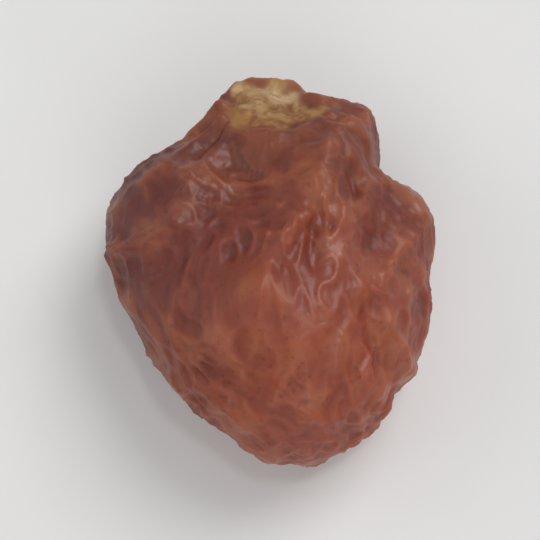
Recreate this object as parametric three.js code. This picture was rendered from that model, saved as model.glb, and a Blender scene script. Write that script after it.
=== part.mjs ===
// A dried physalis berry without its husk, lying on its side as it comes to rest on a table.
//
// The real fruit is one piece. Its skin was stretched round a plump berry, and as the pulp lost its
// water the skin buckled into folds: long ones that run from the stem scar to the tip, shorter ones
// that cross them, and tight pleats round the scar itself. The scar is the pale corky pad where the
// stalk and the papery husk broke off, with a small pit at its middle where the sap vessels were.
// X runs across the fruit, Y from its tip to its stem end and Z up. The fruit rests on the spot that
// was pressed flat while it dried, and the origin is on that plane, under the middle of the fruit.
import * as THREE from "three";
import { mergeVertices } from "three/addons/utils/BufferGeometryUtils.js";

// Driving sizes, in millimetres.
const WIDTH = 14.4;
const LENGTH = 17.2;
const HEIGHT = 9.6;
const TAPER = 0.05; // how much broader the stem end is, and narrower the tip, as a share of the width
const SCAR_RADIUS = 2.05;
const PRESSED_DEPTH = 0.32; // how much of the underside the table pressed flat
const PRESSED_RADIUS = 2.6; // the folds are ironed out this far round the resting spot
const FACE_ROWS = 22; // each side of the icosahedron is cut into this many and one more

// Where the scar faces: towards the stem end, turned up, a little left.
const SCAR_AIM = new THREE.Vector3(-0.02, 0.84, 0.54).normalize();

// Lobes and hollows that run up and down the sides and end before the top and the underside. "round"
// is the angle round the outline, in degrees from +X towards +Y, "spread" the angle over which each
// fades, and "height" is in millimetres, negative for a hollow.
const OUTLINE_LOBES = [
  { name: "flat lower left flank", round: 222, spread: 26, height: -0.9 },
  { name: "slant left of the tip", round: 252, spread: 13, height: -0.65 },
  { name: "left shoulder", round: 163, spread: 17, height: 0.9 },
  { name: "slope up to the scar", round: 128, spread: 14, height: -0.85 },
  { name: "scar end", round: 100, spread: 11, height: 0.4 },
  { name: "right shoulder", round: 56, spread: 11, height: 0.3 },
  { name: "nick under the right shoulder", round: 36, spread: 9, height: -1.15 },
  { name: "right bulge", round: 15, spread: 10, height: 0.3 },
  { name: "right flank", round: -18, spread: 14, height: 0.5 },
  { name: "right of the tip", round: -48, spread: 12, height: 0.4 },
  { name: "tip", round: -72, spread: 12, height: 0.2 },
];

// Round lumps and dents. "lift" is the angle above the widest line, and "reach" the angle over which
// each fades.
const LUMPS_AND_DENTS = [
  { name: "hollow below the scar", round: 121, lift: 64, reach: 17, height: -0.85 },
  { name: "lump below the right shoulder", round: 52, lift: 47, reach: 14, height: 0.45 },
  { name: "belly towards the tip", round: -73, lift: 67, reach: 22, height: 0.55 },
  { name: "left dent", round: 185, lift: 51, reach: 16, height: -0.45 },
  { name: "right dent", round: 6, lift: 47, reach: 17, height: -0.45 },
  { name: "dent under the tip", round: -60, lift: -35, reach: 20, height: -0.35 },
  { name: "dent under the left shoulder", round: 150, lift: -40, reach: 18, height: -0.3 },
];

// Where the skin is taut and the folds are low.
const TAUT_BELLY = { round: -70, lift: 58, reach: 30 };

// The share of the folds' height that is lost in the collar round the scar, on the resting spot, on
// the taut belly and along the widest line. That line's band is as wide as a unit direction's z.
const LOST = { collar: 0.6, resting: 0.9, belly: 0.5, widest: 0.35 };
const WIDEST_BAND = 0.3;

// Deep creases on the upper side, each a line between two points seen from above, in millimetres.
// They end at the widest line, over a share of a unit direction's z.
const CREASE_END = 1 / 9;
const CREASES = [
  { from: [-1.9, 3.4], to: [0.8, 3.3], width: 0.4, depth: 0.22 },
  { from: [1.3, 1.6], to: [2.6, 0.9], width: 0.35, depth: 0.28 },
  { from: [1.6, 0.6], to: [2.4, -0.8], width: 0.4, depth: 0.34 },
  { from: [-2.9, -1.2], to: [0.5, -1.4], width: 0.4, depth: 0.2 },
  { from: [3.1, 3.2], to: [3.4, 2.6], width: 0.4, depth: 0.3 },
  { from: [5.1, -2.7], to: [4.9, -4.5], width: 0.4, depth: 0.3 },
];

// The two sets of folds. "spacing" is about the distance from one crest to the next but one, "height"
// is from trough to crest, "along" below 1 draws the folds out along the fruit, and "sharp" and
// "round" shape the crest. "sunk" is the share of its height by which a set lies in the skin, so that
// it stands in as much as out, and "firm" the share that it keeps where the skin is firm. Each set
// sums a number of waves, and its seed picks one pattern of many.
const LONG_FOLDS = {
  spacing: 5.2,
  height: 0.58,
  along: 0.78,
  sharp: 1.5,
  round: 0.36,
  sunk: 0.45,
  firm: 0.6,
  waves: 16,
  seed: 21.3,
};
const CROSS_FOLDS = {
  spacing: 2.9,
  height: 0.36,
  along: 0.85,
  sharp: 1.5,
  round: 0.45,
  sunk: 0.4,
  firm: 0.35,
  waves: 24,
  seed: 5.7,
};

// The folds stray from a straight run by "by" millimetres, along one set of waves for each axis. The
// skin is firm in some spots and crumpled in others, and the cross folds fade by "swing" in places:
// "steep" is how fast the one passes into the other.
const BEND = { spacing: 7.5, waves: 12, seeds: [1.3, 2.7, 4.9], by: 0.45 };
const FIRM_SPOTS = { spacing: 9, waves: 12, seed: 3.3, steep: 2.2, shift: 0.3 };
const FADING_SPOTS = { spacing: 4, waves: 16, seed: 6.6, steep: 1.5, swing: 0.25 };

// The scar. Its edge wavers and its pleats stray from even spacing by swings of "by" (millimetres for
// the edge, radians for the pleats), "count" times round it. The pleats are highest at "out"
// millimetres from the edge, and lower by "uneven" to two sides.
const EDGE_SWINGS = [
  { count: 2, by: 0.2, start: 0.6 },
  { count: 3, by: 0.14, start: 1 },
  { count: 5, by: 0.1, start: 0 },
];
const PLEAT_SWINGS = [
  { count: 2, by: 1.7, start: 0.6 },
  { count: 3, by: 1.3, start: 2 },
];
const PLEATS = { count: 11, height: 0.2, out: 1, uneven: 0.4 };
const COLLAR_REACH = 1.7;
const RIM = { width: 0.3, height: 0.16 };
const PAD = { depth: 0.22, softEdge: 0.1 };
const PIT = { radius: 0.38, depth: 0.22 };

const DEGREE = Math.PI / 180;
const gauss = (x) => Math.exp(-x * x);
const step = (x) => 1 / (1 + Math.exp(-x));

// A repeatable draw between 0 and 1 for the i-th item of a seeded set.
function draw(i, salt, seed) {
  const s = Math.sin(i * salt + seed) * 43758.5453;
  return s - Math.floor(s);
}

// Waves of nearly one length whose directions are spread evenly over a sphere, on a spiral.
function waveSet({ spacing, waves, seed }) {
  return Array.from({ length: waves }, (_, i) => {
    const z = 1 - (2 * i + 1) / waves;
    const ring = Math.sqrt(1 - z * z);
    const turn = i * Math.PI * (3 - Math.sqrt(5)) + seed;
    const number = ((2 * Math.PI) / spacing) * (0.875 + 0.25 * draw(i, 78.233, seed));
    const k = new THREE.Vector3(ring * Math.cos(turn), ring * Math.sin(turn), z).multiplyScalar(number);
    return { k, phase: 2 * Math.PI * draw(i, 12.9898, 4.1414 * seed) };
  });
}

// The sum of a set of waves at a point. It wanders between about -2 and 2, and its zero line is where
// a fold's crest runs.
function ripple(set, p) {
  const sum = set.reduce((total, { k, phase }) => total + Math.sin(k.dot(p) + phase), 0);
  return sum * Math.sqrt(2 / set.length);
}

const bendWaves = BEND.seeds.map((seed) => waveSet({ ...BEND, seed }));
const firmWaves = waveSet(FIRM_SPOTS);
const fadeWaves = waveSet(FADING_SPOTS);
const longWaves = waveSet(LONG_FOLDS);
const crossWaves = waveSet(CROSS_FOLDS);

// A fold's height over the plump skin, from the ripple that places it: a rounded crest with wide
// skirts.
function fold({ height, sharp, round, sunk }, ripples) {
  return height * Math.exp(sharp * (round - Math.hypot(ripples, round))) - sunk * height;
}

// 1 where the cosine of an angle is 1, and less away from it, over a reach in degrees.
function fading(cosine, reach) {
  return Math.exp(-(1 - cosine) / (1 - Math.cos(reach * DEGREE)));
}

function aim({ round, lift }) {
  const flat = Math.cos(lift * DEGREE);
  return new THREE.Vector3(
    flat * Math.cos(round * DEGREE),
    flat * Math.sin(round * DEGREE),
    Math.sin(lift * DEGREE),
  );
}

// The plump fruit: an ellipsoid, broader towards its stem end.
function plumpPoint(d) {
  const taper = 1 + TAPER * d.y;
  return new THREE.Vector3((WIDTH / 2) * d.x * taper, (LENGTH / 2) * d.y, (HEIGHT / 2) * d.z);
}

function plumpNormal(d) {
  return new THREE.Vector3(d.x / WIDTH, d.y / LENGTH, d.z / HEIGHT).normalize();
}

const scarCentre = plumpPoint(SCAR_AIM);
const scarAcross = SCAR_AIM.clone().cross(new THREE.Vector3(0, 0, 1)).normalize();
const scarDown = SCAR_AIM.clone().cross(scarAcross);

// The sum of a list of swings at an angle round the scar.
function swings(list, turn, wave) {
  return list.reduce((sum, { count, by, start }) => sum + by * wave(count * turn + start), 0);
}

// Where a point lies about the scar: its distance from the middle and the angle round it, the distance
// of the pad's uneven edge at that angle, and how much it is on the pad and in the collar round it.
function aboutScar(d, plump) {
  const away = plump.distanceTo(scarCentre);
  const turn = Math.atan2(d.dot(scarDown), d.dot(scarAcross));
  const edge = SCAR_RADIUS + swings(EDGE_SWINGS, turn, Math.cos);
  const pad = step((edge - away) / PAD.softEdge);
  const collar = Math.exp(-Math.max(0, away - edge) / COLLAR_REACH) * (1 - pad);
  return { away, turn, edge, pad, collar };
}

// The pleats and the raised rim round the scar, its sunken pad and the pit in it. The pleats start
// from nothing at the pad's edge, are highest a little way out, and die away after that.
function scarRelief({ away, turn, edge, pad }) {
  const pleat = Math.cos(PLEATS.count * turn + swings(PLEAT_SWINGS, turn, Math.sin));
  const out = Math.max(0, away - edge) / PLEATS.out;
  const share = 1 - PLEATS.uneven + PLEATS.uneven * Math.sin(2 * turn + 1);
  return (
    PLEATS.height * share * pleat * out * Math.exp(1 - out) +
    RIM.height * gauss((away - edge - RIM.width) / RIM.width) -
    PAD.depth * pad -
    PIT.depth * gauss(away / PIT.radius)
  );
}

function lineDistance(x, y, [ax, ay], [bx, by]) {
  const [ux, uy] = [bx - ax, by - ay];
  const t = ((x - ax) * ux + (y - ay) * uy) / (ux * ux + uy * uy);
  const held = Math.min(1, Math.max(0, t));
  return Math.hypot(x - ax - held * ux, y - ay - held * uy);
}

function swelling(d) {
  const turn = Math.atan2(d.y, d.x);
  const level = Math.hypot(d.x, d.y) ** 3;
  const lobes = OUTLINE_LOBES.reduce((sum, { round, spread, height }) => {
    return sum + height * level * fading(Math.cos(turn - round * DEGREE), spread);
  }, 0);
  return LUMPS_AND_DENTS.reduce((sum, lump) => {
    return sum + lump.height * fading(d.dot(aim(lump)), lump.reach);
  }, lobes);
}

// The dried skin's point in direction d from the middle of the fruit.
function skinPoint(d) {
  const plump = plumpPoint(d);
  const out = plumpNormal(d);
  const base = plump.clone().addScaledVector(out, swelling(d));

  const [bx, by, bz] = bendWaves.map((set) => BEND.by * ripple(set, base));
  const longAt = new THREE.Vector3(base.x + bx, base.y * LONG_FOLDS.along + by, base.z + bz);
  const crossAt = new THREE.Vector3(base.x + bz, base.y * CROSS_FOLDS.along + by, base.z + bx);
  const scar = aboutScar(d, plump);

  // The skin is taut in some places and crumpled in others. It is calm on the scar and the resting
  // spot, and tighter round the widest line and on the belly.
  const crumpled = step(FIRM_SPOTS.steep * (ripple(firmWaves, base) + FIRM_SPOTS.shift));
  const resting = d.z < 0 ? gauss(Math.hypot(plump.x, plump.y) / PRESSED_RADIUS) : 0;
  const belly = fading(d.dot(aim(TAUT_BELLY)), TAUT_BELLY.reach);
  const tight = LOST.widest * gauss(d.z / WIDEST_BAND) + LOST.belly * belly;
  const free = (1 - scar.pad) * (1 - LOST.collar * scar.collar) * (1 - LOST.resting * resting);
  const loose = free * (1 - tight);
  const { swing, steep } = FADING_SPOTS;
  const fade = 1 - swing + swing * Math.tanh(steep * ripple(fadeWaves, base));

  const upper = step(d.z / CREASE_END);
  const creased = CREASES.reduce((sum, { from, to, width, depth }) => {
    const near = lineDistance(base.x + bx, base.y + by, from, to);
    return sum + depth * upper * gauss(near / width);
  }, 0);

  const longShare = LONG_FOLDS.firm + (1 - LONG_FOLDS.firm) * crumpled;
  const crossShare = fade * (CROSS_FOLDS.firm + (1 - CROSS_FOLDS.firm) * crumpled);
  const relief =
    fold(LONG_FOLDS, ripple(longWaves, longAt)) * loose * longShare +
    fold(CROSS_FOLDS, ripple(crossWaves, crossAt)) * loose * crossShare +
    scarRelief(scar) -
    creased;
  const point = base.addScaledVector(out, relief);
  point.z = Math.max(point.z, PRESSED_DEPTH - HEIGHT / 2);
  return point;
}

// The skin on an icosahedron's even triangles, stretched to the driving sizes and set on the table.
function berryGeometry() {
  const ball = new THREE.IcosahedronGeometry(1, FACE_ROWS);
  ball.deleteAttribute("normal");
  ball.deleteAttribute("uv");
  const geometry = mergeVertices(ball);
  const position = geometry.attributes.position;
  for (let i = 0; i < position.count; i++) {
    const direction = new THREE.Vector3().fromBufferAttribute(position, i).normalize();
    position.setXYZ(i, ...skinPoint(direction));
  }
  geometry.computeBoundingBox();
  const { min, max } = geometry.boundingBox;
  const size = max.clone().sub(min);
  geometry.translate(-(min.x + max.x) / 2, -(min.y + max.y) / 2, -min.z);
  geometry.scale(WIDTH / size.x, LENGTH / size.y, HEIGHT / size.z);
  geometry.computeVertexNormals();
  return geometry;
}

const skin = new THREE.MeshStandardMaterial({ color: 0x8f4a33, roughness: 0.45, metalness: 0 });
const berry = new THREE.Mesh(berryGeometry(), skin);
berry.name = "berry";

const part = new THREE.Group();
part.add(berry);

export default part;
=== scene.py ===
import bpy
import numpy as np
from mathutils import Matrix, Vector


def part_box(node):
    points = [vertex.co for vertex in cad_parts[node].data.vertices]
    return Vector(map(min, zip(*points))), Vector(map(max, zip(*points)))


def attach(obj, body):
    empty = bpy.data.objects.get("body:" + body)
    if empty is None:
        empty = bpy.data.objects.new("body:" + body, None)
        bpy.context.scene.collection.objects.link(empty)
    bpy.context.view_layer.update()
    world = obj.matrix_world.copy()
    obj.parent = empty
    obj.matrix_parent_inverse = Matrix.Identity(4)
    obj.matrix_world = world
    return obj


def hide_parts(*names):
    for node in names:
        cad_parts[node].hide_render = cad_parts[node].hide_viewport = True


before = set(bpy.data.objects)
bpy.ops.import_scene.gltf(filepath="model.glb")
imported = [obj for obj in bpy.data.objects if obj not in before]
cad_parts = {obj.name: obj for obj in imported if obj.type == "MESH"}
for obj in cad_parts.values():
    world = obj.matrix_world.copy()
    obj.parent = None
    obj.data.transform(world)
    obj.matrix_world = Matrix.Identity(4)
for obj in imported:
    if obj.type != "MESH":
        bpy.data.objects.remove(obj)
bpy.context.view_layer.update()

MILLIMETRE = 0.001

# The plump fruit
# A ripe physalis is a round juicy berry. It dries lying on a tray, which flattens it and leaves the
# broad lumps and dents that give it its outline and its sunken flanks.
low_corner, high_corner = (np.array(corner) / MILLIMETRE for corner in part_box("berry"))
whole_size = high_corner - low_corner
half_size = whole_size / 2
STEM_END_BROADER = 0.05

# Lobes and hollows that run up and down its sides: the angle round the outline from +X towards +Y,
# the angle over which each fades (in degrees), and its height, negative for a hollow.
OUTLINE_LOBES = {
    "flat lower left flank": (222, 26, -0.9),
    "slant left of the tip": (252, 13, -0.65),
    "left shoulder": (163, 17, 0.9),
    "slope up to the scar": (128, 14, -0.85),
    "scar end": (100, 11, 0.4),
    "right shoulder": (56, 11, 0.3),
    "nick under the right shoulder": (36, 9, -1.15),
    "right bulge": (15, 10, 0.3),
    "right flank": (-18, 14, 0.5),
    "right of the tip": (-48, 12, 0.4),
    "tip": (-72, 12, 0.2),
}

# Round lumps and dents: the angle round the outline, the angle above the widest line, the angle over
# which each fades, and its height.
LUMPS_AND_DENTS = {
    "hollow below the scar": (121, 64, 17, -0.85),
    "lump below the right shoulder": (52, 47, 14, 0.45),
    "belly towards the tip": (-73, 67, 22, 0.55),
    "left dent": (185, 51, 16, -0.45),
    "right dent": (6, 47, 17, -0.45),
    "dent under the tip": (-60, -35, 20, -0.35),
    "dent under the left shoulder": (150, -40, 18, -0.3),
}


def unit(vectors):
    """The same vectors, one long."""
    vectors = np.asarray(vectors, float)
    return vectors / np.linalg.norm(vectors, axis=-1, keepdims=True)


def plump_points(directions):
    """An ellipsoid of half the berry's size, made broader in step with how far towards +Y it is."""
    points = half_size * directions
    points[..., 0] *= 1 + STEM_END_BROADER * directions[..., 1]
    return points


def fading(cosine, reach):
    """1 where the cosine of an angle is 1, and less away from it: e to the minus of 1 - cosine, over
    the same for the reach."""
    return np.exp(-(1 - cosine) / (1 - np.cos(np.radians(reach))))


def direction(round_angle, lift):
    """The unit direction at an angle round the outline and an angle above the widest line."""
    turn, rise = np.radians([round_angle, lift])
    return np.array([np.cos(rise) * np.cos(turn), np.cos(rise) * np.sin(turn), np.sin(rise)])


def swelling_height(directions):
    """The sum of the lumps and dents, and of the lobes times the cube of how level the direction is,
    which ends them before the top and the underside."""
    total = np.zeros(directions.shape[:-1])
    for round_angle, lift, reach, height in LUMPS_AND_DENTS.values():
        total += height * fading(directions @ direction(round_angle, lift), reach)
    turn = np.arctan2(directions[..., 1], directions[..., 0])
    level = np.hypot(directions[..., 0], directions[..., 1])
    for round_angle, spread, height in OUTLINE_LOBES.values():
        total += height * level**3 * fading(np.cos(turn - np.radians(round_angle)), spread)
    return total


# The folds of the dried skin
# The skin is a thin tough sheet. As the pulp under it lost its water the sheet grew too large, and it
# buckled into long folds from scar to tip, shorter ones across them, and fine wrinkles on both.
LONG_FOLDS = {"spacing": 5.2, "waves": 16, "seed": 21.3}
CROSS_FOLDS = {"spacing": 2.9, "waves": 24, "seed": 5.7}
WRINKLES = {"spacing": 1.25, "waves": 32, "seed": 8.2}
CRINKLES = {"spacing": 0.62, "waves": 48, "seed": 14.6}

# Height from trough to crest, how steep the sides are, how round the crest is, and the share of its
# height by which a set lies sunk in the skin, so that it stands in as much as out.
LONG_SHAPE = (0.58, 1.5, 0.36, 0.45)
CROSS_SHAPE = (0.36, 1.5, 0.45, 0.4)
WRINKLE_SHAPE = (0.18, 1.5, 0.42, 0.4)
CRINKLE_SHAPE = (0.05, 1.5, 0.45, 0.4)

# Below 1 along Y, these draw a set out along the fruit.
LONG_DRAWN_OUT = (1, 0.78, 1)
CROSS_DRAWN_OUT = (1, 0.85, 1)

# The folds stray from a straight run by this much, along one set of waves for each axis.
BEND_BY = 0.45
BEND = [{"spacing": 7.5, "waves": 12, "seed": seed} for seed in (1.3, 2.7, 4.9)]

# The skin is firm in some spots and crumpled in others, and the short folds fade by a share of their
# height in places. Steep is how fast the one passes into the other.
FIRM_SPOTS = {"spacing": 9.0, "waves": 12, "seed": 3.3}
FIRM_STEEP = 2.2
FIRM_SHIFT = 0.3
FADING_SPOTS = {"spacing": 4.0, "waves": 16, "seed": 6.6}
FADING_STEEP = 1.5
FADING_SHARE = 0.25

# The share of its height that each set keeps where the skin is firm, and the crinkles where they fade.
LONG_KEEP = 0.6
CROSS_KEEP = 0.35
WRINKLES_KEEP = 0.5
CRINKLES_KEEP = 0.35

# The share of the folds' height that is lost in the collar round the scar, on the resting spot, on
# the taut belly and along the widest line, a band as wide as a unit direction's Z.
LOST = {"collar": 0.6, "resting": 0.9, "belly": 0.5, "widest": 0.35}
WIDEST_BAND = 0.3
TAUT_BELLY = (-70, 58)
TAUT_REACH = 30
PRESSED_RADIUS = 2.6
PRESSED_DEPTH = 0.32

# Deep creases of the upper side: from, to, width and depth, seen from above. They end at the widest
# line, over a share of a unit direction's Z.
CREASE_END = 1 / 9
CREASES = [
    ((-1.9, 3.4), (0.8, 3.3), 0.4, 0.22),
    ((1.3, 1.6), (2.6, 0.9), 0.35, 0.28),
    ((1.6, 0.6), (2.4, -0.8), 0.4, 0.34),
    ((-2.9, -1.2), (0.5, -1.4), 0.4, 0.2),
    ((3.1, 3.2), (3.4, 2.6), 0.4, 0.3),
    ((5.1, -2.7), (4.9, -4.5), 0.4, 0.3),
]


def draw(count, salt, seed):
    """Repeatable draws between 0 and 1: what is left of a large multiple of a sine after its whole
    part is taken off."""
    spread = np.sin(np.arange(count) * salt + seed) * 43758.5453
    return spread - np.floor(spread)


def ripple(points, spacing, waves, seed):
    """A sum of sine waves of nearly one length, whose directions lie on a spiral over a sphere. It
    wanders between about -2 and 2, and a fold's crest runs along its zero line."""
    step = np.arange(waves)
    height = 1 - (2 * step + 1) / waves
    ring = np.sqrt(1 - height * height)
    turn = step * np.pi * (3 - np.sqrt(5)) + seed
    number = 2 * np.pi / spacing * (0.875 + 0.25 * draw(waves, 78.233, seed))
    wave = np.stack([ring * np.cos(turn), ring * np.sin(turn), height]) * number
    phase = 2 * np.pi * draw(waves, 12.9898, 4.1414 * seed)
    return np.sin(points @ wave + phase).sum(-1) * np.sqrt(2 / waves)


def bell(value):
    """e to the minus of the value squared."""
    return np.exp(-value * value)


def ramp(value):
    """Rises smoothly from 0 to 1 round zero."""
    return 1 / (1 + np.exp(-value))


def keeping(least, share):
    """The least where the share is 0, and 1 where the share is 1."""
    return least + (1 - least) * share


def fold(ripples, height, steep, roundness, sunk):
    """A rounded crest with wide skirts, where the ripples pass through zero: the height times e to
    the minus of how far they are from zero, less the part that is sunk in the skin."""
    return height * np.exp(steep * (roundness - np.hypot(ripples, roundness))) - sunk * height


def line_distance(x, y, start, end):
    """The distance in plan from a point to the line between two others."""
    along = np.subtract(end, start)
    share = ((x - start[0]) * along[0] + (y - start[1]) * along[1]) / (along @ along)
    share = np.clip(share, 0, 1)
    return np.hypot(x - start[0] - share * along[0], y - start[1] - share * along[1])


def crease_depth(bent, directions):
    """The sum of the creases, each a bell over the distance from its line, on the upper side only."""
    total = np.zeros(directions.shape[:-1])
    for start, end, width, depth in CREASES:
        near = line_distance(bent[..., 0], bent[..., 1], start, end)
        total += depth * ramp(directions[..., 2] / CREASE_END) * bell(near / width)
    return total


# The stem scar
# The stalk and the papery husk broke off here and left a pale corky pad. It is ringed by a firm rim,
# the skin is drawn into pleats round it, and the sap vessels left a small pit and a ring in it.
scar_aim = unit([-0.02, 0.84, 0.54])
scar_across = unit(np.cross(scar_aim, [0, 0, 1]))
scar_down = np.cross(scar_aim, scar_across)
scar_middle = plump_points(scar_aim)
SCAR_RADIUS = 2.05
PAD_DEPTH = 0.22
PAD_SOFT_EDGE = 0.1
PIT_RADIUS = 0.38
PIT_DEPTH = 0.22
RIM_WIDTH = 0.3
RIM_HEIGHT = 0.16
COLLAR_REACH = 1.7
PLEAT_COUNT = 11
PLEAT_HEIGHT = 0.2
PLEATS_HIGHEST = 1.0
PLEATS_UNEVEN = 0.4

# What wavers round the scar, as swings: how many times round, how far, and the angle it starts at.
EDGE_SWINGS = [(2, 0.2, 0.6), (3, 0.14, 1), (5, 0.1, 0)]
PLEAT_SWINGS = [(2, 1.7, 0.6), (3, 1.3, 2)]
VESSEL_SWINGS = [(2, 0.12, 2), (5, 0.06, 0)]

# The cork stops a little inside the pad's edge, frays along the pad's lumps and cracks, and has a
# ring of vessel ends sunk in it.
PAD_LUMPS = {"spacing": 1.6, "waves": 16, "seed": 2.2}
PAD_LUMP_HEIGHT = 0.06
PAD_CRACKS = {"spacing": 0.8, "waves": 32, "seed": 9.4}
PAD_CRACK_SHAPE = (0.035, 2.0, 0.25, 0)
CORK_INSET = 0.12
CORK_FRAYED_BY_LUMPS = 0.2
CORK_FRAYED_BY_CRACKS = 0.08
CORK_SOFT_EDGE = 0.09
VESSEL_RING = 1.0
VESSEL_RING_WIDTH = 0.14
VESSEL_RING_DEPTH = 0.05
VESSEL_ENDS = 9
VESSELS_UNEVEN = 0.35


def swings(table, around, wave):
    """The sum of a table's waves round the scar."""
    return sum(by * wave(count * around + start) for count, by, start in table)


def scar_fields(plump, around):
    """Over the angle round the scar, and the distance from its middle: the pad is 1 inside an uneven
    edge and the collar fades outside it. The scar's relief is a bell for the rim just past the edge,
    less the sunken pad and a bell for its pit, plus the pleats: a cosine of eleven turns whose angle
    swings back and forth, times a share that rises from the edge and then dies away."""
    away = np.linalg.norm(plump - scar_middle, axis=-1)
    edge = SCAR_RADIUS + swings(EDGE_SWINGS, around, np.cos)
    pad = ramp((edge - away) / PAD_SOFT_EDGE)
    outside = np.maximum(0, away - edge)
    collar = np.exp(-outside / COLLAR_REACH) * (1 - pad)
    pleats = np.cos(PLEAT_COUNT * around + swings(PLEAT_SWINGS, around, np.sin))
    pleats *= outside / PLEATS_HIGHEST * np.exp(1 - outside / PLEATS_HIGHEST)
    pleats *= 1 - PLEATS_UNEVEN + PLEATS_UNEVEN * np.sin(2 * around + 1)
    relief = PLEAT_HEIGHT * pleats + RIM_HEIGHT * bell((away - edge - RIM_WIDTH) / RIM_WIDTH)
    relief -= PAD_DEPTH * pad + PIT_DEPTH * bell(away / PIT_RADIUS)
    return away, edge, pad, collar, relief


def cork_fields(plump, around, away, edge):
    """The cork is 1 inside a ragged edge: the pad's own, moved by its lumps and cracks. The vessels
    are a bell over the distance from a ring that wavers, uneven from end to end."""
    frayed = CORK_FRAYED_BY_LUMPS * ripple(plump, **PAD_LUMPS)
    frayed += CORK_FRAYED_BY_CRACKS * ripple(plump, **PAD_CRACKS)
    cork = ramp((edge - CORK_INSET + frayed - away) / CORK_SOFT_EDGE)
    ring_at = VESSEL_RING + swings(VESSEL_SWINGS, around, np.cos)
    uneven = 1 - VESSELS_UNEVEN + VESSELS_UNEVEN * np.cos(VESSEL_ENDS * around + 1)
    return cork, bell((away - ring_at) / VESSEL_RING_WIDTH) * uneven


# The seeds under the skin
# A physalis is full of flat round seeds. Where the skin has sunk on to them they show as low bumps,
# paler than the skin between them.
SEED_COUNT = 230
SEED_RADIUS = 0.62
SEED_HEIGHT = 0.1
SEED_SOFT_EDGE = 0.13
SEED_TURN_DRAW = 0.9
SEED_LEVEL_DRAW = 0.05
SEEDS_LOST_IN_COLLAR = 0.8

# How strongly a seed shows, from the lowest draw to the highest. Below 0 it lies too deep to show.
DEEPEST_SEED = -0.5
SHALLOWEST_SEED = 1.1


def seed_bumps(plump):
    """Low domes at points spread on a spiral over the fruit and shifted by a repeatable draw. Each
    dome falls off past its own radius, and some seeds lie too deep to show."""
    step = np.arange(SEED_COUNT)
    level = 1 - (2 * step + 1) / SEED_COUNT
    turn = step * np.pi * (3 - np.sqrt(5)) + SEED_TURN_DRAW * draw(SEED_COUNT, 31.7, 2.0)
    level = np.clip(level + SEED_LEVEL_DRAW * (draw(SEED_COUNT, 17.3, 5.0) - 0.5), -1, 1)
    ring = np.sqrt(1 - level * level)
    middles = plump_points(np.stack([ring * np.cos(turn), ring * np.sin(turn), level], -1))
    shown = DEEPEST_SEED + (SHALLOWEST_SEED - DEEPEST_SEED) * draw(SEED_COUNT, 53.9, 1.0)
    shown = np.clip(shown, 0, 1)
    bumps = np.zeros(plump.shape[:-1])
    for middle, strength in zip(middles[shown > 0], shown[shown > 0]):
        away = np.linalg.norm(plump - middle, axis=-1)
        bumps = np.maximum(bumps, strength * ramp((SEED_RADIUS - away) / SEED_SOFT_EDGE))
    return bumps


# The whole berry
# One closed skin: the plump fruit, with the folds, the scar and the seed bumps raised along its
# outward direction, and the spot that it lay on pressed flat.
AROUND_STEPS = 440
DOWN_STEPS = 220

# For the colours: how much a millimetre of fine relief counts beside one of folds, how far the pit
# stains the cork, and how dark the ring of vessels is beside it.
FINE_RELIEF_WEIGHT = 2.2
PIT_STAIN_RADIUS = 0.34
VESSEL_STAIN = 0.6


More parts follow.
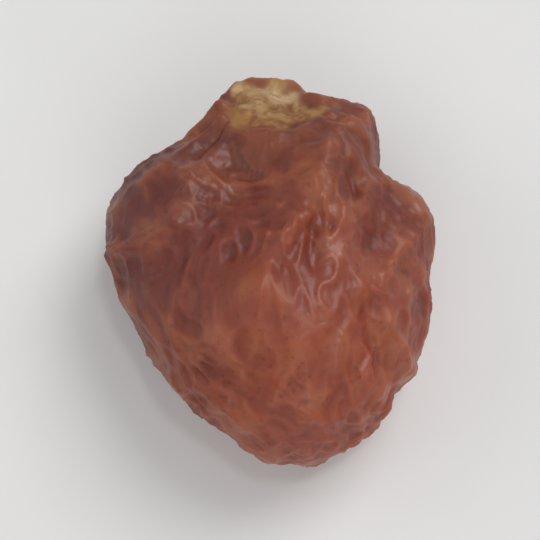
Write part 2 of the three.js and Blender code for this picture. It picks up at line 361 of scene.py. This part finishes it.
def berry_skin(around, down):
    """Over the angle around the scar's axis and the angle down from it: the plump point, moved along
    its outward direction by the swellings, then by every fold, crease, pleat and bump. Gives the
    points, and the values over them that the colours follow."""
    sideways = np.cos(around)[..., None] * scar_across + np.sin(around)[..., None] * scar_down
    directions = np.sin(down)[..., None] * sideways + np.cos(down)[..., None] * scar_aim
    plump = plump_points(directions)
    outward = unit(directions / half_size)
    base = plump + outward * swelling_height(directions)[..., None]
    bend = np.stack([ripple(base, **waves) for waves in BEND], -1)
    long_at = base * LONG_DRAWN_OUT + BEND_BY * bend
    cross_at = base * CROSS_DRAWN_OUT + BEND_BY * bend[..., ::-1]
    away, edge, pad, collar, scar_relief = scar_fields(plump, around)
    cork, vessels = cork_fields(plump, around, away, edge)

    crumpled = ramp(FIRM_STEEP * (ripple(base, **FIRM_SPOTS) + FIRM_SHIFT))
    fade = 1 - FADING_SHARE + FADING_SHARE * np.tanh(FADING_STEEP * ripple(base, **FADING_SPOTS))
    below = directions[..., 2] < 0
    resting = np.where(below, bell(np.hypot(plump[..., 0], plump[..., 1]) / PRESSED_RADIUS), 0)
    on_belly = fading(directions @ direction(*TAUT_BELLY), TAUT_REACH)
    tight = LOST["widest"] * bell(directions[..., 2] / WIDEST_BAND) + LOST["belly"] * on_belly
    free = (1 - pad) * (1 - LOST["collar"] * collar) * (1 - LOST["resting"] * resting)
    loose = free * (1 - tight)

    long_fold = fold(ripple(long_at, **LONG_FOLDS), *LONG_SHAPE)
    cross_fold = fold(ripple(cross_at, **CROSS_FOLDS), *CROSS_SHAPE)
    relief = long_fold * loose * keeping(LONG_KEEP, crumpled)
    relief += cross_fold * loose * fade * keeping(CROSS_KEEP, crumpled)
    relief += scar_relief - crease_depth(base + BEND_BY * bend, directions)

    seeds = seed_bumps(plump) * (1 - pad) * (1 - SEEDS_LOST_IN_COLLAR * collar)
    wrinkle = fold(ripple(long_at, **WRINKLES), *WRINKLE_SHAPE)
    crinkle = fold(ripple(cross_at, **CRINKLES), *CRINKLE_SHAPE)
    pad_grain = PAD_LUMP_HEIGHT * ripple(base, **PAD_LUMPS)
    pad_grain -= fold(ripple(base, **PAD_CRACKS), *PAD_CRACK_SHAPE)
    fine = wrinkle * free * (1 - LOST["belly"] * on_belly) * keeping(WRINKLES_KEEP, crumpled)
    fine += crinkle * (1 - pad) * keeping(CRINKLES_KEEP, fade)
    fine += SEED_HEIGHT * seeds * (1 - LOST["resting"] * resting)
    fine += pad * pad_grain - VESSEL_RING_DEPTH * vessels

    skin = base + outward * (relief + fine)[..., None]
    skin[..., 2] = np.maximum(skin[..., 2], PRESSED_DEPTH - half_size[2])
    # The crest value makes the colour lighter on the crests and darker in the valleys: partly the skin's
    # own tone, partly painted light and shade.
    crest = 0.5 + (long_fold + cross_fold) * (1 - pad) + FINE_RELIEF_WEIGHT * fine
    crest = np.clip(crest, 0, 1)
    pit = np.maximum(bell(away / PIT_STAIN_RADIUS), VESSEL_STAIN * vessels)
    return skin, {"crest": crest, "cork": cork, "collar": collar, "seed": seeds, "away": away, "pit": pit}


around = np.linspace(0, 2 * np.pi, AROUND_STEPS, endpoint=False)[None, :]
down = np.linspace(0, np.pi, DOWN_STEPS + 1)[:, None]
around, down = np.broadcast_arrays(around, down)
skin_points, fields = berry_skin(around, down)

# The lumps and folds make the form a little larger or smaller than the plump fruit, so it is fitted
# to the size that the berry is to have.
form_low = skin_points.min((0, 1))
form_high = skin_points.max((0, 1))
skin_points = low_corner + (skin_points - form_low) * whole_size / (form_high - form_low)


def rings_to_rows(values):
    """One row for each vertex: the scar's pole, each ring in turn, and the pole under the tip."""
    rings = values[1:-1].reshape(-1, *values.shape[2:])
    return np.concatenate([values[:1, 0], rings, values[-1:, 0]])


ring_count = DOWN_STEPS - 1
first = 1 + np.arange(ring_count)[:, None] * AROUND_STEPS
here = first + np.arange(AROUND_STEPS)
beside = first + (np.arange(AROUND_STEPS) + 1) % AROUND_STEPS
last_vertex = 1 + ring_count * AROUND_STEPS
quads = np.stack([here[:-1], here[1:], beside[1:], beside[:-1]], -1).reshape(-1, 4)
scar_fan = np.stack([np.zeros(AROUND_STEPS, int), here[0], beside[0]], -1)
tip_fan = np.stack([here[-1], np.full(AROUND_STEPS, last_vertex), beside[-1]], -1)

berry_mesh = bpy.data.meshes.new("dried_berry")
vertices = rings_to_rows(skin_points) * MILLIMETRE
berry_mesh.from_pydata(vertices.tolist(), [], quads.tolist() + scar_fan.tolist() + tip_fan.tolist())
berry_mesh.shade_smooth()
for name, values in fields.items():
    attribute = berry_mesh.attributes.new(name, "FLOAT", "POINT")
    attribute.data.foreach_set("value", rings_to_rows(values).astype(np.float32))
berry = bpy.data.objects.new("dried_berry", berry_mesh)
bpy.context.scene.collection.objects.link(berry)
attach(berry, "root")
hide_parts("berry")

# The skin's colour and sheen
# The skin is amber and clear, over red-brown pulp. Its folds let light through and look orange, which is
# painted in as lighter colour on the crests (painted light), and the pulp shows dark in the valleys,
# partly painted shade. Dried juice leaves a thin sticky gloss. The scar is matt cork.
# The dark pulp colour is also laid in the valleys between the folds as painted shade.
PULP_AND_PAINTED_SHADE = (0.060, 0.011, 0.008, 1)
# The purple skin colour darkens the left side, partly as painted shade.
PURPLE_SKIN_AND_PAINTED_SHADE = (0.105, 0.019, 0.018, 1)
BROWN_SKIN = (0.115, 0.027, 0.015, 1)
RED_SKIN = (0.165, 0.027, 0.015, 1)
# Orange and amber also serve as painted light on the crests and towards the tip.
ORANGE_SKIN_AND_PAINTED_LIGHT = (0.310, 0.060, 0.025, 1)
AMBER_SKIN_AND_PAINTED_LIGHT = (0.42, 0.130, 0.045, 1)
SEED_SKIN = (0.36, 0.120, 0.060, 1)
CORK = (0.66, 0.49, 0.28, 1)
CORK_AMBER = (0.36, 0.18, 0.052, 1)
CORK_BROWN = (0.20, 0.080, 0.028, 1)

# Where the colours of the berry's ends and sides pass into each other, in metres along it and across.
TIP_END = (-0.0062, 0.0045)
STEM_END = (-0.0005, 0.0050)
LEFT_SIDE = (-0.0068, 0.0005)
TOP_OF_SCAR = (0.0062, 0.0078)
STAINED_SCAR = (0.0066, 0.0078)

# Sizes of the marks in the colour, in millimetres, and the depth of the pores, in metres.
CLOUD = 3.4
BLOTCH = 1.3
SPECKLE = 0.34
PORE = 0.11
PORE_DEPTH = 0.00005

# How far light goes in under the skin, in metres, and the share of that for red, green and blue.
GLOW_DEPTH = 0.0008
GLOW_REACH = (1.0, 0.32, 0.12)
GLOW = 0.35


class Shade:
    """An output of a material's nodes. Arithmetic on it adds Math nodes to the same material."""

    def __init__(self, tree, socket=None):
        self.tree = tree
        self.socket = socket

    def node(self, kind, settings=(), inputs=(), output=0):
        """Adds a node, makes its settings, then fills or links its inputs. Gives one output."""
        made = self.tree.nodes.new(kind)
        for name, value in dict(settings).items():
            setattr(made, name, value)
        for name, value in dict(inputs).items():
            if isinstance(value, Shade):
                self.tree.links.new(value.socket, made.inputs[name])
            else:
                made.inputs[name].default_value = value
        return Shade(self.tree, made.outputs[output])

    def math(self, operation, first, second, clamp=False):
        """A Math node on two values or sockets, held between 0 and 1 if asked."""
        settings = {"operation": operation, "use_clamp": clamp}
        return self.node("ShaderNodeMath", settings, {0: first, 1: second})

    def __add__(self, other):
        return self.math("ADD", self, other)

    __radd__ = __add__

    def __sub__(self, other):
        return self.math("SUBTRACT", self, other)

    def __rsub__(self, other):
        return self.math("SUBTRACT", other, self)

    def __mul__(self, other):
        return self.math("MULTIPLY", self, other)

    __rmul__ = __mul__

    def clamped(self):
        """The same value, held between 0 and 1."""
        return self.math("ADD", self, 0.0, clamp=True)

    def between(self, low, high):
        """0 at the low value and below, 1 at the high one and above, smooth in between."""
        inputs = {"Value": self, "From Min": low, "From Max": high}
        return self.node("ShaderNodeMapRange", {"interpolation_type": "SMOOTHSTEP"}, inputs)

    def mix(self, first, second):
        """The first colour where this value is 0, and the second where it is 1."""
        return self.node("ShaderNodeMix", {"data_type": "RGBA"}, {0: self, 6: first, 7: second}, output=2)

    def field(self, name):
        """A value that the mesh carries at each vertex."""
        return self.node("ShaderNodeAttribute", {"attribute_name": name}, output="Fac")

    def place(self):
        """The piece's own coordinates, in metres."""
        return self.node("ShaderNodeTexCoord", output="Object")

    def along(self, axis):
        """One of the piece's own coordinates."""
        return self.node("ShaderNodeSeparateXYZ", {}, {"Vector": self.place()}, output=axis)

    def noise(self, grain, detail=2.0, roughness=0.5, distortion=0.0):
        """Cloudy noise over the piece's own coordinates, with clouds about one grain (mm) across."""
        inputs = {"Vector": self.place(), "Scale": 1 / (grain * MILLIMETRE), "Detail": detail}
        inputs |= {"Roughness": roughness, "Distortion": distortion}
        return self.node("ShaderNodeTexNoise", {}, inputs)


skin_material = bpy.data.materials.new("dried_berry_skin")
skin_material.use_nodes = True
skin_tree = skin_material.node_tree
skin_shader = skin_tree.nodes["Principled BSDF"]
skin = Shade(skin_tree)

crest = skin.field("crest")
cork = skin.field("cork")
collar = skin.field("collar")
seed = skin.field("seed")
away = skin.field("away")
pit = skin.field("pit")
clouds = skin.noise(CLOUD, detail=3.0, roughness=0.55)
blotches = skin.noise(BLOTCH, detail=4.0, roughness=0.6, distortion=0.4)
speckles = skin.noise(SPECKLE, detail=2.0)
pores = skin.noise(PORE, detail=2.0)
# Brighter orange towards the tip and darker towards the left: partly the skin's own tone, partly painted
# light and shade.
towards_tip = 1 - skin.along("Y").between(*TIP_END)
towards_stem = skin.along("Y").between(*STEM_END)
towards_left = 1 - skin.along("X").between(*LEFT_SIDE)

# The skin is orange on its crests, in clouds and towards the tip, and red in between and on the left.
# The lighter orange crests and tip are partly painted light, and the darker purple left side is partly
# painted shade.
# Each layer then lies over those before it, by its share.
ripeness_and_painted_light = (0.5 * crest + 0.45 * clouds + 0.5 * towards_tip - 0.25 * towards_left - 0.22).clamped()
skin_layers = {
    # Purple and darker on the left: partly the skin's own tone, partly painted shade.
    "purple left side, partly painted shade": (towards_left * (0.5 + 0.2 * clouds), PURPLE_SKIN_AND_PAINTED_SHADE),
    "brown stem end": (towards_stem * (0.2 + 0.35 * blotches), BROWN_SKIN),
    # Amber on the crests: partly the skin's own tone, partly painted light.
    "amber crests, partly painted light": (crest.between(0.62, 0.95) * blotches.between(0.3, 0.7) * 0.45, AMBER_SKIN_AND_PAINTED_LIGHT),
    # Dark in the valleys between the folds: partly the pulp's own colour, partly painted shade.
    "dark pulp and painted shade in valleys": ((1 - crest.between(0.12, 0.44)) * 0.3, PULP_AND_PAINTED_SHADE),
    "dark blotches": (blotches.between(0.56, 0.74) * 0.16, PULP_AND_PAINTED_SHADE),
    "pale seeds": (seed * clouds.between(0.3, 0.6) * 0.5, SEED_SKIN),
    "dark specks": (speckles.between(0.58, 0.72) * 0.3, PULP_AND_PAINTED_SHADE),
    "amber collar": (collar * blotches.between(0.35, 0.6) * 0.45, AMBER_SKIN_AND_PAINTED_LIGHT),
}
skin_colour = ripeness_and_painted_light.mix(RED_SKIN, ORANGE_SKIN_AND_PAINTED_LIGHT)
for share, colour in skin_layers.values():
    skin_colour = share.mix(skin_colour, colour)

# The cork is cream at its top and amber lower down, at its edge and in blotches. Juice has stained
# its lower part with the skin's own colour.
amber_share = 0.8 - 0.8 * skin.along("Y").between(*TOP_OF_SCAR) + 0.4 * away.between(1.0, 2.0)
amber_share = (amber_share + 0.5 * blotches.between(0.42, 0.62)).clamped()
cork_layers = {
    "brown specks": (speckles.between(0.55, 0.72) * 0.35, CORK_BROWN),
    "brown pit and vessels": (pit * 0.6, CORK_BROWN),
}
cork_colour = amber_share.mix(CORK, CORK_AMBER)
for share, colour in cork_layers.values():
    cork_colour = share.mix(cork_colour, colour)
stain = blotches.between(0.45, 0.6) * (1 - skin.along("Y").between(*STAINED_SCAR))
surface_colour = (cork * (1 - 0.65 * stain)).mix(skin_colour, cork_colour)

roughness = 0.46 + 0.2 * blotches + 0.2 * cork - 0.08 * crest
gloss = (1 - cork) * (0.06 + 0.26 * clouds.between(0.42, 0.68))
pore_inputs = {"Strength": 0.35, "Distance": PORE_DEPTH, "Height": 0.6 * pores + 0.4 * speckles}
pore_bump = skin.node("ShaderNodeBump", {}, pore_inputs)

looks = {"Base Color": surface_colour, "Roughness": roughness, "Coat Weight": gloss, "Normal": pore_bump}
for name, value in looks.items():
    skin_tree.links.new(value.socket, skin_shader.inputs[name])
skin_shader.inputs["Subsurface Weight"].default_value = GLOW
skin_shader.inputs["Subsurface Radius"].default_value = GLOW_REACH
skin_shader.inputs["Subsurface Scale"].default_value = GLOW_DEPTH
skin_shader.inputs["Coat Roughness"].default_value = 0.2
skin_shader.inputs["IOR"].default_value = 1.46
berry_mesh.materials.append(skin_material)

# The floor
# A plain pale table top, with a faint unevenness of tone like matt painted board.
FLOOR_HALF = 1.5
PALE_BOARD = (0.80, 0.79, 0.775, 1)
PALEST_BOARD = (0.84, 0.83, 0.82, 1)
BOARD_TONE = 6.0
floor_mesh = bpy.data.meshes.new("floor")
floor_corners = [(-FLOOR_HALF, -FLOOR_HALF, 0), (FLOOR_HALF, -FLOOR_HALF, 0)]
floor_corners += [(FLOOR_HALF, FLOOR_HALF, 0), (-FLOOR_HALF, FLOOR_HALF, 0)]
floor_mesh.from_pydata(floor_corners, [], [(0, 1, 2, 3)])
floor = bpy.data.objects.new("floor", floor_mesh)
bpy.context.scene.collection.objects.link(floor)
floor_material = bpy.data.materials.new("pale_board")
floor_material.use_nodes = True
floor_shader = floor_material.node_tree.nodes["Principled BSDF"]
board_colour = Shade(floor_material.node_tree).noise(BOARD_TONE).mix(PALE_BOARD, PALEST_BOARD)
floor_material.node_tree.links.new(board_colour.socket, floor_shader.inputs["Base Color"])
floor_shader.inputs["Roughness"].default_value = 0.75
floor_mesh.materials.append(floor_material)

# The light
# Soft studio light: a large lamp from the upper right, a weak one from the left, a wide fill from the
# tip's side, and a small lamp overhead that gives the sticky skin its fine glints.
berry_middle = Vector((0, 0, 0.0042))
SKYLIGHT = (0.95, 0.97, 1.0, 1)
SKYLIGHT_STRENGTH = 0.35


def lamp(name, place, width, watts):
    """A square lamp that faces the berry."""
    light = bpy.data.lights.new(name, "AREA")
    light.size = width
    light.energy = watts
    holder = bpy.data.objects.new(name, light)
    holder.location = place
    holder.rotation_euler = (berry_middle - Vector(place)).to_track_quat("-Z", "Y").to_euler()
    bpy.context.scene.collection.objects.link(holder)


lamp("key_lamp", place=(0.36, 0.36, 0.68), width=0.48, watts=3.2)
lamp("left_lamp", place=(-0.68, 0.08, 0.48), width=0.64, watts=0.95)
lamp("tip_lamp", place=(0.12, -0.80, 0.64), width=0.80, watts=2.4)
lamp("high_lamp", place=(0.12, 0.0, 0.96), width=0.10, watts=0.68)

world = bpy.data.worlds.new("studio")
world.use_nodes = True
world.node_tree.nodes["Background"].inputs["Color"].default_value = SKYLIGHT
world.node_tree.nodes["Background"].inputs["Strength"].default_value = SKYLIGHT_STRENGTH
bpy.context.scene.world = world
bpy.context.scene.view_settings.view_transform = "Standard"

# The camera
# It looks down on the berry as the photograph does, from 15 degrees off straight above, with the
# stem end at the top of the picture.
CAMERA_LIFT = np.radians(75)
FIELD_WIDTH = 0.0235
camera_data = bpy.data.cameras.new("camera")
camera_data.lens = 150
camera_data.clip_start = 0.002
camera = bpy.data.objects.new("camera", camera_data)
bpy.context.scene.collection.objects.link(camera)
towards_camera = Vector((0, -np.cos(CAMERA_LIFT), np.sin(CAMERA_LIFT)))
camera.location = berry_middle + towards_camera * FIELD_WIDTH * camera_data.lens / camera_data.sensor_width
camera.rotation_euler = towards_camera.to_track_quat("Z", "Y").to_euler()
bpy.context.scene.camera = camera
